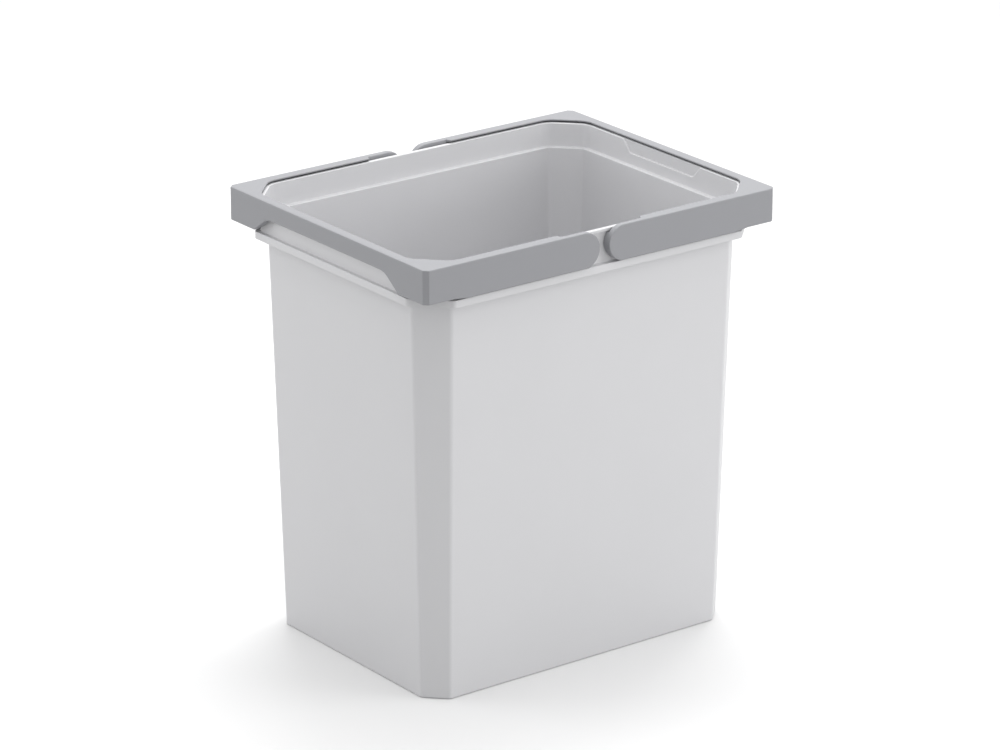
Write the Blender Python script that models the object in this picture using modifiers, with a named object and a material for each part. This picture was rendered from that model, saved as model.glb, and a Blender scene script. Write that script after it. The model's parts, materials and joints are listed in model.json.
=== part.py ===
"""Rectangular waste bin with a stepped rim and two folding U-shaped carry handles.

Metres, +Z up, X along the long side. The origin is the centre of the base, on the surface
that the bin stands on. At rest both handles lie flat round the rim. Their tips stand a
little apart at the middle of the long sides, and each handle turns up on two blind stubs
that are moulded on the collar of the bin, one inside each tip.
"""

import math

import bmesh
import bpy
from mathutils import Matrix, Vector

# Overall sizes, over the folded handles
RIM_LENGTH = 0.330
RIM_WIDTH = 0.2548
RIM_HEIGHT = 0.35465

# Base and drafted walls of the bin
BASE_LENGTH = 0.2858
BASE_WIDTH = 0.2104
BASE_CHAMFER = 0.016
BASE_CORNER_ROUND = 0.004
BASE_EDGE_ROUND = 0.0015
FOOT_WIDTH = 0.007
FOOT_HEIGHT = 0.0015
FLOOR_THICKNESS = 0.0025
FLOOR_ROUND = 0.004
WALL = 0.0022
MOUTH_SET_IN_END = 0.0055
MOUTH_SET_IN_SIDE = 0.0048
MOUTH_CHAMFER = 0.0213
MOUTH_CORNER_ROUND = 0.006

# Collar above the ledge, with the lip bead round its top
COLLAR_SET_BACK_END = 0.0075
COLLAR_SET_BACK_SIDE = 0.0082
COLLAR_CHAMFER = 0.0242
COLLAR_CORNER_ROUND = 0.016
COLLAR_WALL = 0.0021
COLLAR_DRAFT = 0.0005
LIP_DROP = 0.0026
LIP_REACH = 0.0015
LIP_HEIGHT = 0.0025
LIP_ROUND = 0.0006
LEDGE_DROP = 0.0215
LEDGE_THICKNESS = 0.0024
LEDGE_ROUND = 0.0008

# Shoulder under the collar, a skirt that hangs clear of the walls
SHOULDER_DROP = 0.0301
SHOULDER_HEIGHT = 0.0054
SHOULDER_REACH_END = 0.0034
SHOULDER_REACH_SIDE = 0.0044
SHOULDER_CHAMFER = 0.027
SHOULDER_CORNER_ROUND = 0.018
SHOULDER_FALL = 0.0003
SHOULDER_ROUND = 0.0008
COVE_ROUND = 0.002

# Finger recess inside the collar at each short side, with a pad behind it for the wall
RECESS_TOP_WIDTH = 0.0952
RECESS_FLOOR_WIDTH = 0.0776
RECESS_HEIGHT = 0.0097
RECESS_INSET = 0.0012
RECESS_ROUND = 0.0025
RECESS_OVERRUN = 0.002
BACKING_MARGIN = 0.0016
BACKING_ROOT = 0.0005

# Pivot stubs and the gaps that the handles run with
PIVOT_RADIUS = 0.004
PIVOT_LENGTH = 0.0053
PIVOT_LEAD_IN = 0.0006
PIVOT_ROOT = 0.001
RUNNING_GAP = 0.0003
HUB_CLEARANCE = 0.0004

# Handle frame: flange on top, skirt outside, gusset in each corner
SKIRT_DEPTH = 0.0266
SKIRT_WALL = 0.0024
CORNER_FLAT = 0.0035
CORNER_ROUND = 0.0005
FLANGE_WIDTH_END = 0.0084
FLANGE_WIDTH_SIDE = 0.0091
FLANGE_THICKNESS = 0.0011
GUSSET = 0.0227
GUSSET_ROUND = 0.016
OUTER_EDGE_ROUND = 0.0008
INNER_EDGE_ROUND = 0.0005
EDGE_LINE = 0.002

# Raised grip in the middle of the short side, with a thick wall to hold it by
GRIP_WIDTH = 0.1512
GRIP_DEPTH = 0.0138
GRIP_THICKNESS = 0.0051
GRIP_RAMP = 0.0174
GRIP_ROUND = 0.0186
RAMP_FOOT_ROUND = 0.003

# Tails of the handle, solid bars with round tips, a little deeper than the corners
TIP_GAP = 0.0087
TAIL_DEPTH = 0.0281
TAIL_SLOPE_SET_IN = 0.026
TAIL_SLOPE_LENGTH = 0.014
TAIL_LENGTH = 0.0331
TAIL_THICKNESS = 0.0051
TAIL_EDGE_ROUND = 0.001
FLANGE_END_LENGTH = 0.002
TIP_BLOCK_STEP = 0.0004
TIP_BLOCK_ROOT = 0.001

# Rest ribs under the flange beside the grip, which sit on the lip
REST_RIB_PLACE = 0.058
REST_RIB_WIDTH = 0.0012
REST_RIB_REACH = 0.0022
REST_RIB_ROOT = 0.0008

# Counts and shares
CORNER_STEPS = 3
PROFILE_STEPS = 2
GRIP_STEPS = 4
TIP_STEPS = 12
PIVOT_SIDES = 24
HALF_SHARE = 0.5
SHARED_LEG_SHARE = 0.45
WHOLE_LEG_SHARE = 0.9
SKIRT_OUTER_LINE_SHARE = 0.5
SKIRT_INNER_LINE_SHARE = 0.25

# A chamfer's leg grows by this share of the distance that its outline moves out
CHAMFER_GROWTH_SHARE = 2 - math.sqrt(2)
EIGHTH_TURN = math.pi / 4
QUARTER_TURN = math.pi / 2

# Places that follow from the sizes
TIP_RADIUS = TAIL_DEPTH / 2
PIVOT_X = TIP_GAP / 2 + TIP_RADIUS
PIVOT_Z = RIM_HEIGHT - TIP_RADIUS
LIP_TOP = RIM_HEIGHT - LIP_DROP
LEDGE_TOP = RIM_HEIGHT - LEDGE_DROP
LEDGE_UNDERSIDE = LEDGE_TOP - LEDGE_THICKNESS
SHOULDER_TOP = RIM_HEIGHT - SHOULDER_DROP
SHOULDER_UNDERSIDE = SHOULDER_TOP - SHOULDER_HEIGHT
COLLAR_HALF_LENGTH = RIM_LENGTH / 2 - COLLAR_SET_BACK_END
COLLAR_HALF_WIDTH = RIM_WIDTH / 2 - COLLAR_SET_BACK_SIDE
GRIP_INNER_FACE = RIM_LENGTH / 2 - GRIP_THICKNESS
TAIL_INNER_FACE = RIM_WIDTH / 2 - TAIL_THICKNESS
WELD = 0.000001


def rounded_corner(before, corner, after, radius, shares, steps, plane):
    """The points of an arc that replaces a corner, with every value of the corner carried along."""
    u, v = plane
    leg_in = Vector((before[u] - corner[u], before[v] - corner[v]))
    leg_out = Vector((after[u] - corner[u], after[v] - corner[v]))
    turn = math.pi - leg_in.angle(leg_out)
    reach = min(
        radius * math.tan(turn / 2),
        shares[0] * leg_in.length,
        shares[1] * leg_out.length,
    )
    radius = reach / math.tan(turn / 2)
    inward = (leg_in.normalized() + leg_out.normalized()).normalized()
    centre = inward * (radius / math.cos(turn / 2))
    first = leg_in.normalized() * reach - centre
    last = leg_out.normalized() * reach - centre
    area = leg_in.cross(leg_out)
    points = []
    for step in range(steps + 1):
        done = step / steps
        spoke = first * math.sin(turn - done * turn) + last * math.sin(done * turn)
        place = centre + spoke / math.sin(turn)
        along_in = place.cross(leg_out) / area
        along_out = leg_in.cross(place) / area
        points.append(
            tuple(
                here + along_in * (back - here) + along_out * (ahead - here)
                for back, here, ahead in zip(before, corner, after)
            )
        )
    return points


def softened(corners, radii, steps, closed=False, plane=(0, 1)):
    """A line through the corners whose bends are arcs. A radius of 0 leaves a corner sharp."""
    points = []
    count = len(corners)
    for index, corner in enumerate(corners):
        at_end = not closed and index in (0, count - 1)
        if at_end or radii[index] == 0:
            points.append(tuple(corner))
            continue
        around = ((index - 1) % count, (index + 1) % count)
        shares = [
            SHARED_LEG_SHARE if radii[near] else WHOLE_LEG_SHARE for near in around
        ]
        before, after = (corners[near] for near in around)
        points.extend(
            rounded_corner(before, corner, after, radii[index], shares, steps, plane)
        )
    return points


def moved_out(ring, along, across, height):
    """A ring round another one, further out by its own distance along X and along Y."""
    length, width, chamfer, curve, _ = ring
    mean = (along + across) / 2
    return (
        length + along,
        width + across,
        chamfer + CHAMFER_GROWTH_SHARE * mean,
        max(curve + mean, CORNER_ROUND),
        height,
    )


def ring_corners(ring):
    """The outline of a ring from its middle front, anticlockwise: a rectangle with cut corners."""
    length, width, chamfer, curve = ring[:4]
    corners = [
        (length - chamfer, -width),
        (length, chamfer - width),
        (length, width - chamfer),
        (length - chamfer, width),
        (chamfer - length, width),
        (-length, width - chamfer),
        (-length, chamfer - width),
        (chamfer - length, -width),
    ]
    return softened(corners, [curve] * len(corners), CORNER_STEPS, closed=True)


def lofted(rows, closed_rows=True):
    """A skin of quads over rows of points, each row joined to the next."""
    form = bmesh.new()
    made = [[form.verts.new(point) for point in row] for row in rows]
    count = len(rows[0])
    for lower, upper in zip(made, made[1:]):
        for index in range(count if closed_rows else count - 1):
            after = (index + 1) % count
            form.faces.new((lower[index], lower[after], upper[after], upper[index]))
    return form, made


def mesh_object(name, form, collection, place=(0, 0, 0)):
    """A mesh object made from a bmesh, its faces turned outwards and its curves shaded smooth."""
    bmesh.ops.remove_doubles(form, verts=form.verts[:], dist=WELD)
    bmesh.ops.recalc_face_normals(form, faces=form.faces[:])
    mesh = bpy.data.meshes.new(name)
    form.to_mesh(mesh)
    form.free()
    mesh.shade_smooth()
    mesh.set_sharp_from_angle(angle=EIGHTH_TURN * HALF_SHARE)
    thing = bpy.data.objects.new(name, mesh)
    thing.location = place
    collection.objects.link(thing)
    return thing


def add_prism(form, outline, start, end):
    """Adds the solid between a flat outline at start and the same outline at end."""
    travel = Vector(end) - Vector(start)
    face = form.faces.new([form.verts.new(Vector(start) + Vector(p)) for p in outline])
    grown = bmesh.ops.extrude_face_region(form, geom=[face])
    moved = [item for item in grown["geom"] if isinstance(item, bmesh.types.BMVert)]
    bmesh.ops.translate(form, vec=travel, verts=moved)


def add_round_bar(form, radius, start, end, lead_in=0):
    """Adds a round bar along Y from start to end. Its far rim is cut back by lead_in."""
    start, end = Vector(start), Vector(end)
    turned = Matrix.Rotation(-math.copysign(QUARTER_TURN, end.y - start.y), 4, "X")
    made = bmesh.ops.create_cone(
        form,
        cap_ends=True,
        segments=PIVOT_SIDES,
        radius1=radius,
        radius2=radius,
        depth=(end - start).length,
        matrix=Matrix.Translation((start + end) / 2) @ turned,
    )
    if lead_in:
        rim = {
            edge
            for vert in made["verts"]
            for edge in vert.link_edges
            if all(abs(point.co.y - end.y) < WELD for point in edge.verts)
        }
        bmesh.ops.bevel(
            form, geom=list(rim), offset=lead_in, segments=1, affect="EDGES"
        )


def joined_by(thing, tool, operation):
    """Adds an exact Boolean that unites the tool with the thing or cuts it away."""
    boolean = thing.modifiers.new(tool.name, "BOOLEAN")
    boolean.operation = operation
    boolean.object = tool
    boolean.solver = "EXACT"


def plastic(name, colour, roughness):
    """A moulded plastic."""
    material = bpy.data.materials.new(name)
    material.use_nodes = True
    shader = material.node_tree.nodes["Principled BSDF"]
    shader.inputs["Base Color"].default_value = colour
    shader.inputs["Roughness"].default_value = roughness
    shader.inputs["Metallic"].default_value = 0
    return material


def body_profile():
    """The rings of the bin from its inside floor up over the lip and down to its base.

    Each entry is a ring and the radius that its edge is rounded with in the wall's section.
    A ring is half its length, half its width, the leg of its cut corners, the radius of
    their ends and its height.
    """
    collar = (
        COLLAR_HALF_LENGTH,
        COLLAR_HALF_WIDTH,
        COLLAR_CHAMFER,
        COLLAR_CORNER_ROUND,
        SHOULDER_TOP,
    )
    base = (
        BASE_LENGTH / 2,
        BASE_WIDTH / 2,
        BASE_CHAMFER,
        BASE_CORNER_ROUND,
        0,
    )
    mouth = (
        collar[0] - MOUTH_SET_IN_END,
        collar[1] - MOUTH_SET_IN_SIDE,
        MOUTH_CHAMFER,
        MOUTH_CORNER_ROUND,
        LEDGE_TOP,
    )

    def wall_at(height):
        """The outside of the drafted wall at a height."""
        risen = height / LEDGE_TOP
        return tuple(low + risen * (high - low) for low, high in zip(base, mouth))

    def inside(height):
        return moved_out(wall_at(height), -WALL, -WALL, height)

    floor_top = FOOT_HEIGHT + FLOOR_THICKNESS
    foot = -COLLAR_WALL - COLLAR_DRAFT
    inner = -COLLAR_WALL
    brow = SHOULDER_TOP - SHOULDER_FALL
    shoulder = (
        collar[0] + SHOULDER_REACH_END,
        collar[1] + SHOULDER_REACH_SIDE,
        SHOULDER_CHAMFER,
        SHOULDER_CORNER_ROUND,
        brow,
    )
    return [
        (inside(floor_top), FLOOR_ROUND),
        (inside(LEDGE_TOP), LEDGE_ROUND),
        (moved_out(collar, foot, foot, LEDGE_TOP), LEDGE_ROUND),
        (moved_out(collar, inner, inner, LIP_TOP), LIP_ROUND),
        (moved_out(collar, LIP_REACH, LIP_REACH, LIP_TOP), LIP_ROUND),
        (moved_out(collar, LIP_REACH, LIP_REACH, LIP_TOP - LIP_HEIGHT), 0),
        (moved_out(collar, 0, 0, LIP_TOP - LIP_HEIGHT), 0),
        (collar, COVE_ROUND),
        (shoulder, SHOULDER_ROUND),
        (moved_out(shoulder, 0, 0, SHOULDER_UNDERSIDE), 0),
        (moved_out(shoulder, -WALL, -WALL, SHOULDER_UNDERSIDE), 0),
        (moved_out(shoulder, -WALL, -WALL, brow - WALL), 0),
        (moved_out(collar, -WALL, -WALL, SHOULDER_TOP - WALL), 0),
        (moved_out(collar, -WALL, -WALL, LEDGE_UNDERSIDE), 0),
        (wall_at(LEDGE_UNDERSIDE), 0),
        (base, BASE_EDGE_ROUND),
        (moved_out(base, -FOOT_WIDTH, -FOOT_WIDTH, 0), 0),
        (moved_out(base, -FOOT_WIDTH, -FOOT_WIDTH, FOOT_HEIGHT), 0),
    ]


def body_skin():
    """The closed skin of the bin, before its recesses are cut."""
    profile = body_profile()
    floor_ring, floor_round = profile[0]
    floor_middle = (
        floor_ring[0] - FLOOR_ROUND - WALL,
        floor_ring[1] - FLOOR_ROUND - WALL,
        floor_ring[2],
        floor_ring[3],
        floor_ring[4],
    )
    rings = [floor_middle] + [ring for ring, _ in profile]
    radii = [0] + [radius for _, radius in profile]
    rings = softened(rings, radii, PROFILE_STEPS, plane=(1, 4))
    rows = [[(x, y, ring[4]) for x, y in ring_corners(ring)] for ring in rings]
    form, made = lofted(rows)
    form.faces.new(made[0])
    form.faces.new(made[-1])
    return form


def recess_outline(margin, top):
    """The tapered outline of a recess, seen from the end of the bin, grown by a margin."""
    slope = (RECESS_TOP_WIDTH - RECESS_FLOOR_WIDTH) / 2 / RECESS_HEIGHT
    floor = LIP_TOP - RECESS_HEIGHT - margin
    floor_half = RECESS_FLOOR_WIDTH / 2 + margin * (math.hypot(1, slope) - slope)
    top_half = floor_half + slope * (top - floor)
    corners = [
        (-top_half, top),
        (-floor_half, floor),
        (floor_half, floor),
        (top_half, top),
    ]
    radius = RECESS_ROUND + margin
    outline = softened(corners, [0, radius, radius, 0], GRIP_STEPS)
    return [(0, y, z) for y, z in outline]


def recess_blocks(name, margin, top, near, far, collection):
    """The tapered block of a recess at each end of the bin, between two places along X."""
    outline = recess_outline(margin, top)
    form = bmesh.new()
    for side in (-1, 1):
        add_prism(form, outline, (side * near, 0, 0), (side * far, 0, 0))
    return mesh_object(name, form, collection)


def recess_cutter(collection):
    """The two blocks that take the recesses out of the inside of the collar and its lip."""
    inner_face = COLLAR_HALF_LENGTH - COLLAR_WALL
    return recess_blocks(
        "recess_cutter",
        0,
        LIP_TOP + RECESS_OVERRUN,
        inner_face - COLLAR_DRAFT - RECESS_OVERRUN,
        inner_face + RECESS_INSET,
        collection,
    )


def recess_backing(collection):
    """The two pads outside the collar that keep the wall's thickness behind the recesses."""
    return recess_blocks(
        "recess_backing",
        BACKING_MARGIN,
        LIP_TOP - LIP_HEIGHT / 2,
        COLLAR_HALF_LENGTH - BACKING_ROOT,
        COLLAR_HALF_LENGTH + RECESS_INSET,
        collection,
    )


def pivot_stubs(collection):
    """The four stubs on the outside of the collar that the handles turn on."""
    root = COLLAR_HALF_WIDTH - PIVOT_ROOT
    tip = COLLAR_HALF_WIDTH + PIVOT_LENGTH
    form = bmesh.new()
    for end in (-1, 1):
        for side in (-1, 1):
            add_round_bar(
                form,
                PIVOT_RADIUS,
                (end * PIVOT_X, side * root, PIVOT_Z),
                (end * PIVOT_X, side * tip, PIVOT_Z),
                PIVOT_LEAD_IN,
            )
    return mesh_object("pivot_stubs", form, collection)


def make_body(parts, tools, material):
    """The bin: one moulding with its ledge, collar, lip, shoulder, recesses and stubs."""
    body = mesh_object("bin_body", body_skin(), parts)
    joined_by(body, recess_backing(tools), "UNION")
    joined_by(body, recess_cutter(tools), "DIFFERENCE")
    joined_by(body, pivot_stubs(tools), "UNION")
    body.data.materials.append(material)
    return body


def frame_profile(skirt_wall):
    """The corners of a handle's section and their radii, from the middle of its outer face.

    The section has a flange on top of a skirt with the given wall. Without a wall it is the
    solid tail. Each corner is half the length, half the width, the chamfer and the corner
    radius of the ring that it runs on, its drop below the rim, the share of the skirt's
    depth that it hangs by, and its whole drop at the skirt's full depth. All the sections
    have the same number of corners, so one runs into the next.
    """
    outer = (RIM_LENGTH / 2, RIM_WIDTH / 2, CORNER_FLAT, CORNER_ROUND, 0)
    top_line = moved_out(outer, -EDGE_LINE, -EDGE_LINE, 0)
    if skirt_wall is None:
        inner = moved_out(outer, -TAIL_THICKNESS, -TAIL_THICKNESS, 0)
        edge = inner
        edge_line = moved_out(inner, EDGE_LINE * HALF_SHARE, EDGE_LINE * HALF_SHARE, 0)
        edge_drop, root_drop = EDGE_LINE, EDGE_LINE + EDGE_LINE
        edge_round = foot_round = TAIL_EDGE_ROUND
        foot_inner, foot_outer = edge_line, top_line
    else:
        inner = moved_out(outer, -skirt_wall, -skirt_wall, 0)
        edge = (
            RIM_LENGTH / 2 - FLANGE_WIDTH_END,
            RIM_WIDTH / 2 - FLANGE_WIDTH_SIDE,
            GUSSET,
            GUSSET_ROUND,
            0,
        )
        edge_line = moved_out(edge, EDGE_LINE * HALF_SHARE, EDGE_LINE * HALF_SHARE, 0)
        edge_drop = root_drop = FLANGE_THICKNESS
        edge_round, foot_round = INNER_EDGE_ROUND, INNER_EDGE_ROUND
        inner_line = skirt_wall * SKIRT_INNER_LINE_SHARE
        outer_line = skirt_wall * SKIRT_OUTER_LINE_SHARE
        foot_inner = moved_out(inner, inner_line, inner_line, 0)
        foot_outer = moved_out(outer, -outer_line, -outer_line, 0)

    def corner(ring, drop, hang):
        return ring[:4] + (drop, hang, drop + hang * SKIRT_DEPTH)

    return [
        (corner(outer, 0, HALF_SHARE), 0),
        (corner(outer, EDGE_LINE, 0), 0),
        (corner(outer, 0, 0), OUTER_EDGE_ROUND),
        (corner(top_line, 0, 0), 0),
        (corner(edge_line, 0, 0), 0),
        (corner(edge, 0, 0), edge_round),
        (corner(edge, edge_drop, 0), 0),
        (corner(inner, root_drop, 0), 0),
        (corner(inner, 0, HALF_SHARE), 0),
        (corner(inner, -EDGE_LINE - EDGE_LINE, 1), 0),
        (corner(inner, -EDGE_LINE, 1), 0),
        (corner(inner, 0, 1), foot_round),
        (corner(foot_inner, 0, 1), 0),
        (corner(foot_outer, 0, 1), 0),
        (corner(outer, 0, 1), OUTER_EDGE_ROUND),
        (corner(outer, -EDGE_LINE, 1), 0),
    ]


def frame_section(skirt_wall=None):
    """The rounded section of the handle, as closed points with all their ring values."""
    profile = frame_profile(skirt_wall)
    corners = [corner for corner, _ in profile]
    radii = [radius for _, radius in profile]
    return softened(corners, radii, PROFILE_STEPS, closed=True, plane=(1, 6))


def grip_line():
    """Places along half of the short side, with the skirt's depth at each."""
    grip = GRIP_WIDTH / 2
    foot = grip + GRIP_RAMP
    corners = [
        (0, GRIP_DEPTH),
        (grip, GRIP_DEPTH),
        (foot, SKIRT_DEPTH),
        (foot + EDGE_LINE, SKIRT_DEPTH),
    ]
    return softened(corners, [0, GRIP_ROUND, RAMP_FOOT_ROUND, 0], GRIP_STEPS)


def squeeze_share(point, side, last):
    """How far places along a side are drawn in, so that the last is clear of the corner's arc.

    The side is 0 along the length and 1 along the width.
    """
    corner_start = point[side] - point[2] - point[3] * math.tan(EIGHTH_TURN / 2)
    return min(1, corner_start / (last + EDGE_LINE))


def flanged_way(grip_point, point):
    """The way of one section point from the middle of the grip to the slope of the tail.

    The grip and its ramps have the section of the grip point, and the rest has the other.
    """
    stations = grip_line()
    sections = [grip_point] * (len(stations) - 1) + [point]
    way = []
    for (place, depth), here in zip(stations, sections):
        squeeze = squeeze_share(here, 1, stations[-1][0])
        way.append((-here[0], -place * squeeze, -here[4] - here[5] * depth))
    corner = ring_corners(point[:4])[-2 * (CORNER_STEPS + 1) :]
    way.extend((x, y, -point[4] - point[5] * SKIRT_DEPTH) for x, y in corner)
    slope_start = RIM_LENGTH / 2 - TAIL_SLOPE_SET_IN
    slope_end = slope_start - TAIL_SLOPE_LENGTH
    squeeze = squeeze_share(point, 0, slope_start)
    for place, depth in ((slope_start, SKIRT_DEPTH), (slope_end, TAIL_DEPTH)):
        way.append((-place * squeeze, -point[1], -point[4] - point[5] * depth))
    return way


def handle_rows():
    """The sections of half the left handle, from the middle of its grip to its pivot."""
    grip = frame_section(GRIP_THICKNESS)
    flanged = frame_section(SKIRT_WALL)
    bar = frame_section()
    ways = [flanged_way(*points) for points in zip(grip, flanged)]
    rows = [list(row) for row in zip(*ways)]
    flange_end = TIP_GAP / 2 + TAIL_LENGTH
    stops = [
        (flanged, flange_end + FLANGE_END_LENGTH),
        (bar, flange_end),
        (bar, PIVOT_X),
    ]
    for section, place in stops:
        rows.append(
            [
                (-place, -point[1], -point[4] - point[5] * TAIL_DEPTH)
                for point in section
            ]
        )
    return rows


def handle_skin():
    """Half of the left handle's skin, open at the middle of the grip, from its pivot axis."""
    rows = handle_rows()
    rows = [
        [(x + PIVOT_X, y, z + RIM_HEIGHT - PIVOT_Z) for x, y, z in row] for row in rows
    ]
    form, _ = lofted(rows)
    # The upper half of the last section, turned about the pivot axis, makes the round tip
    tip_section = rows[-1]
    upper = tip_section[: len(tip_section) // 2 + 1]
    turned = []
    for step in range(TIP_STEPS + 1):
        angle = math.pi * step / TIP_STEPS
        turned.append(
            [(z * math.sin(angle), y, z * math.cos(angle)) for _, y, z in upper]
        )
    tip, _ = lofted(turned, closed_rows=False)
    scratch = bpy.data.meshes.new("round_tip")
    tip.to_mesh(scratch)
    tip.free()
    form.from_mesh(scratch)
    bpy.data.meshes.remove(scratch)
    bmesh.ops.remove_doubles(form, verts=form.verts[:], dist=WELD)
    bmesh.ops.dissolve_degenerate(form, edges=form.edges[:], dist=WELD)
    return form


def tip_block_outline():
    """The outline of the block behind the tip, which turns under the lip bead.

    The hub round the pivot is as large as the bead leaves room for. The block fills the
    round tip below the bead, and stops short where it would turn up into it.
    """
    hub = TIP_RADIUS - LIP_DROP - LIP_HEIGHT - HUB_CLEARANCE
    block = TIP_RADIUS - TIP_BLOCK_STEP
    spare = math.asin(min(1, hub / block))
    arcs = [
        (block, spare, QUARTER_TURN + 2 * spare),
        (hub, -QUARTER_TURN - spare, 3 * QUARTER_TURN - 2 * spare),
    ]
    outline = []
    for radius, first, swing in arcs:
        for step in range(TIP_STEPS + 1):
            angle = first - swing * step / TIP_STEPS
            outline.append((radius * math.cos(angle), 0, radius * math.sin(angle)))
    return outline


def handle_additions(name, end, collection):
    """The tip blocks and rest ribs of one handle, placed from its pivot axis."""
    form = bmesh.new()
    outline = [(-end * x, y, z) for x, y, z in tip_block_outline()]
    hub_face = COLLAR_HALF_WIDTH + RUNNING_GAP
    root = TAIL_INNER_FACE + TIP_BLOCK_ROOT
    rib_foot = LIP_TOP + RUNNING_GAP
    rib_head = RIM_HEIGHT - FLANGE_THICKNESS + REST_RIB_ROOT
    rib_edge = GRIP_INNER_FACE - REST_RIB_REACH
    rib_back = GRIP_INNER_FACE + REST_RIB_ROOT
    size = (rib_back - rib_edge, REST_RIB_WIDTH, rib_head - rib_foot, 1)
    for side in (-1, 1):
        add_prism(form, outline, (0, side * hub_face, 0), (0, side * root, 0))
        place = Matrix.Translation(
            (
                end * ((rib_edge + rib_back) / 2 - PIVOT_X),
                side * REST_RIB_PLACE,
                (rib_head + rib_foot) / 2 - PIVOT_Z,
            )
        )
        bmesh.ops.create_cube(form, size=1, matrix=place @ Matrix.Diagonal(size))
    return mesh_object(name, form, collection, (end * PIVOT_X, 0, PIVOT_Z))


def bore_cutter(name, end, collection):
    """The two blind bores of one handle, placed from its pivot axis."""
    form = bmesh.new()
    mouth = COLLAR_HALF_WIDTH - RUNNING_GAP
    bottom = COLLAR_HALF_WIDTH + PIVOT_LENGTH + RUNNING_GAP
    for side in (-1, 1):
        add_round_bar(
            form,
            PIVOT_RADIUS + RUNNING_GAP,
            (0, side * mouth, 0),
            (0, side * bottom, 0),
        )
    return mesh_object(name, form, collection, (end * PIVOT_X, 0, PIVOT_Z))


def make_handle(name, end, parts, tools, material):
    """One folding handle, at the end of the bin that end names: -1 left, 1 right."""
    form = handle_skin()
    if end > 0:
        bmesh.ops.scale(form, vec=(-1, 1, 1), verts=form.verts[:])
    handle = mesh_object(name, form, parts, (end * PIVOT_X, 0, PIVOT_Z))
    mirror = handle.modifiers.new("front and back", "MIRROR")
    mirror.use_axis = (False, True, False)
    mirror.merge_threshold = WELD
    joined_by(handle, handle_additions(name + "_blocks", end, tools), "UNION")
    joined_by(handle, bore_cutter(name + "_bores", end, tools), "DIFFERENCE")
    handle.data.materials.append(material)
    return handle


def main():
    for old in list(bpy.data.objects):
        bpy.data.objects.remove(old)
    parts = bpy.data.collections.new("waste_bin")
    tools = bpy.data.collections.new("cutters_and_joined_shapes")
    for collection in (parts, tools):
        bpy.context.scene.collection.children.link(collection)
    light_grey = plastic("light_grey_plastic", (0.66, 0.66, 0.68, 1), 0.45)
    mid_grey = plastic("mid_grey_plastic", (0.34, 0.345, 0.36, 1), 0.5)
    make_body(parts, tools, light_grey)
    make_handle("handle_left", -1, parts, tools, mid_grey)
    make_handle("handle_right", 1, parts, tools, mid_grey)
    for tool in tools.objects:
        tool.hide_render = True
        tool.display_type = "WIRE"


main()
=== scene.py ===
"""The looks of a rectangular waste bin with two folding handles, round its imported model.

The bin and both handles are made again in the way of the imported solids, with finer curves
and with the small rounds that a mould leaves on every edge, and they stand for those solids.
A few sizes of the walls, the shoulder, the collar's foot and the tails are up to about
1.5 mm from the solids' sizes, where that is closer to the photograph. Metres, +Z up, in the
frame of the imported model.
"""

import json
import math

import bmesh
import bpy
from mathutils import Matrix, Vector


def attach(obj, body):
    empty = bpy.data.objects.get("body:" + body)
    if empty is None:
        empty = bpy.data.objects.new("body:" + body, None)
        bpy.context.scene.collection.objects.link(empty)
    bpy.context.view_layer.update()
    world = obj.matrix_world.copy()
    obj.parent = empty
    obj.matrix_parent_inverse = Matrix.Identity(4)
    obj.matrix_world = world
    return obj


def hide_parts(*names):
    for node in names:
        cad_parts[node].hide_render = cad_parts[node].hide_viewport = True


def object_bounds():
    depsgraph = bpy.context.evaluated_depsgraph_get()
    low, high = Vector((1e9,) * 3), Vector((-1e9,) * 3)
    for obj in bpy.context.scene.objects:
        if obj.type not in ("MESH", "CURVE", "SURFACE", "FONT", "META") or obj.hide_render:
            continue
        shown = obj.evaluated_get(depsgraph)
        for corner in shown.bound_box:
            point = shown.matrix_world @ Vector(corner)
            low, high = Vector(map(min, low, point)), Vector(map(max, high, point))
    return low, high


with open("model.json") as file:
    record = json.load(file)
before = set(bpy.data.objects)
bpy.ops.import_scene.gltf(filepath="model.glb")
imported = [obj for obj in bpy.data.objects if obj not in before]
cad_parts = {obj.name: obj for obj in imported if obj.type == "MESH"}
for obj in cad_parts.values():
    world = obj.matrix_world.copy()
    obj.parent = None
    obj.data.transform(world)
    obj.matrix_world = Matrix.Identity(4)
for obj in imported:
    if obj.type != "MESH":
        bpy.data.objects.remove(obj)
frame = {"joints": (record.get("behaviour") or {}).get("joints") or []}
cad_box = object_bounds()

# Overall sizes and pivots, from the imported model. The left pivot is the mirror image.
RIM_LENGTH = cad_box[1][0] - cad_box[0][0]
RIM_WIDTH = cad_box[1][1] - cad_box[0][1]
RIM_HEIGHT = cad_box[1][2]
PIVOTS = {joint["child"]: Vector(joint["pos_m"]) for joint in frame["joints"]}
PIVOT_X, _, PIVOT_Z = PIVOTS["handle_right"]

# Base and drafted walls of the bin
BASE_LENGTH = 0.2872
BASE_WIDTH = 0.2104
BASE_CHAMFER = 0.016
BASE_CORNER_ROUND = 0.004
BASE_EDGE_ROUND = 0.0015
FOOT_WIDTH = 0.007
FOOT_HEIGHT = 0.0015
FOOT_ROUND = 0.0005
FLOOR_THICKNESS = 0.0025
FLOOR_ROUND = 0.004
WALL = 0.0022
MOUTH_SET_IN_END = 0.0047
MOUTH_SET_IN_SIDE = 0.0048
MOUTH_CHAMFER = 0.0213
MOUTH_CORNER_ROUND = 0.006

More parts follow.
